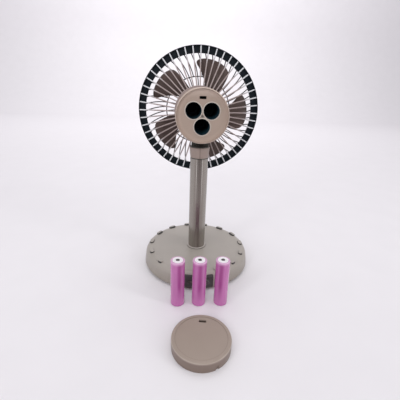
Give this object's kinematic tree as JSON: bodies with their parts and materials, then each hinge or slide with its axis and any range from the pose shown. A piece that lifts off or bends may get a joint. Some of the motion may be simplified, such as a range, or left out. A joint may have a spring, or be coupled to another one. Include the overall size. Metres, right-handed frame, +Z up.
{
  "type": "rechargeable desk fan",
  "caption": "Small cordless desk fan on a pole and round weighted base, with a tilting caged head and an opened battery pod; its cover and cells stand beside it.",
  "frame": {"origin": "middle of the base's underside, on the surface that the fan stands on", "axes": "+Z up along the pole, +Y the way the air blows, +X to the right as seen from the battery side"},
  "size_m": [0.181, 0.2896, 0.3221],
  "materials": {
    "base_shell": "satin moulded plastic",
    "base_plate": "plain moulded plastic",
    "ballast_weight": "bare cast ring",
    "non_slip_pad": "soft pad",
    "rim_studs": "satin moulded plastic",
    "base_screws": "zinc plated",
    "pole_tube": "glossy tube",
    "pole_foot_ring": "glossy ring",
    "pole_nut": "plain moulded plastic",
    "port_panel": "fine texture",
    "charge_port": "bright metal sleeve",
    "indicator_lens": "frosted lens",
    "control_board": "lacquered board",
    "tact_switch": "small moulded switch",
    "swivel_spigot": "smooth bearing plastic",
    "power_button": "satin key",
    "neck_shell_left": "satin moulded plastic",
    "neck_shell_right": "satin moulded plastic",
    "neck_screw": "zinc plated",
    "tilt_yoke": "smooth dark plastic",
    "hinge_pin": "plain steel",
    "pod_housing": "satin moulded plastic",
    "bay_plate": "satin moulded plastic",
    "battery_cradle": "black moulded plastic",
    "cradle_floor": "black moulded plastic",
    "screw_post": "black moulded plastic",
    "bay_contacts": "stamped contact",
    "bay_screw": "small screw",
    "tilt_lug": "smooth dark plastic",
    "motor_mount": "satin moulded plastic",
    "rear_guard": "satin moulded ribs",
    "front_guard": "satin dark ribs",
    "guard_screws": "zinc plated",
    "motor_can": "drawn steel can",
    "motor_screws": "zinc plated",
    "impeller": "smooth moulded blades",
    "motor_shaft": "ground steel",
    "battery_cover": "satin moulded plastic",
    "cover_contact": "stamped sheet",
    "cell_left_wrap": "shrunk plastic wrap over a metal can",
    "cell_left_ring": "pressed paper ring",
    "cell_left_cap": "nickel plated button",
    "cell_middle_wrap": "shrunk plastic wrap over a metal can",
    "cell_middle_ring": "pressed paper ring",
    "cell_middle_cap": "nickel plated button",
    "cell_right_wrap": "shrunk plastic wrap over a metal can",
    "cell_right_ring": "pressed paper ring",
    "cell_right_cap": "nickel plated button"
  },
  "bodies": {
    "base": {"base_shell": "base_shell", "base_plate": "base_plate", "ballast_weight": "ballast_weight", "non_slip_pad": "non_slip_pad", "rim_studs": "rim_studs", "base_screws": "base_screws", "pole_tube": "pole_tube", "pole_foot_ring": "pole_foot_ring", "pole_nut": "pole_nut", "port_panel": "port_panel", "charge_port": "charge_port", "indicator_lens": "indicator_lens", "control_board": "control_board", "tact_switch": "tact_switch", "swivel_spigot": "swivel_spigot"},
    "button": {"power_button": "power_button"},
    "neck": {"neck_shell_left": "neck_shell_left", "neck_shell_right": "neck_shell_right", "neck_screw": "neck_screw", "tilt_yoke": "tilt_yoke", "hinge_pin": "hinge_pin"},
    "head": {"pod_housing": "pod_housing", "bay_plate": "bay_plate", "battery_cradle": "battery_cradle", "cradle_floor": "cradle_floor", "screw_post": "screw_post", "bay_contacts": "bay_contacts", "bay_screw": "bay_screw", "tilt_lug": "tilt_lug", "motor_mount": "motor_mount", "rear_guard": "rear_guard", "front_guard": "front_guard", "guard_screws": "guard_screws", "motor_can": "motor_can", "motor_screws": "motor_screws"},
    "rotor": {"impeller": "impeller", "motor_shaft": "motor_shaft"},
    "cover": {"battery_cover": "battery_cover", "cover_contact": "cover_contact"},
    "cell_left": {"cell_left_wrap": "cell_left_wrap", "cell_left_ring": "cell_left_ring", "cell_left_cap": "cell_left_cap"},
    "cell_middle": {"cell_middle_wrap": "cell_middle_wrap", "cell_middle_ring": "cell_middle_ring", "cell_middle_cap": "cell_middle_cap"},
    "cell_right": {"cell_right_wrap": "cell_right_wrap", "cell_right_ring": "cell_right_ring", "cell_right_cap": "cell_right_cap"}
  },
  "joints": [
    {"name": "button_press", "type": "slide", "parent": "base", "child": "button", "axis": [0, 1, 0], "range_m": [0, 0.001], "stiffness_N_per_m": 600},
    {"name": "neck_swivel", "type": "hinge", "parent": "base", "child": "neck", "pos_m": [0, 0, 0.172], "axis": [0, 0, 1], "range_deg": [-60, 60]},
    {"name": "head_tilt", "type": "hinge", "parent": "neck", "child": "head", "pos_m": [0, 0, 0.1926], "axis": [1, 0, 0], "range_deg": [-20, 35]},
    {"name": "blade_spin", "type": "hinge", "parent": "head", "child": "rotor", "pos_m": [0, 0.0542, 0.2316], "axis": [0, 1, 0], "continuous": true},
    {"name": "cover_lift", "type": "slide", "parent": "base", "child": "cover", "axis": [0, 0, 1], "range_m": [0, 0.08]},
    {"name": "cell_left_lift", "type": "slide", "parent": "base", "child": "cell_left", "axis": [0, 0, 1], "range_m": [0, 0.08]},
    {"name": "cell_middle_lift", "type": "slide", "parent": "base", "child": "cell_middle", "axis": [0, 0, 1], "range_m": [0, 0.08]},
    {"name": "cell_right_lift", "type": "slide", "parent": "base", "child": "cell_right", "axis": [0, 0, 1], "range_m": [0, 0.08]}
  ]
}
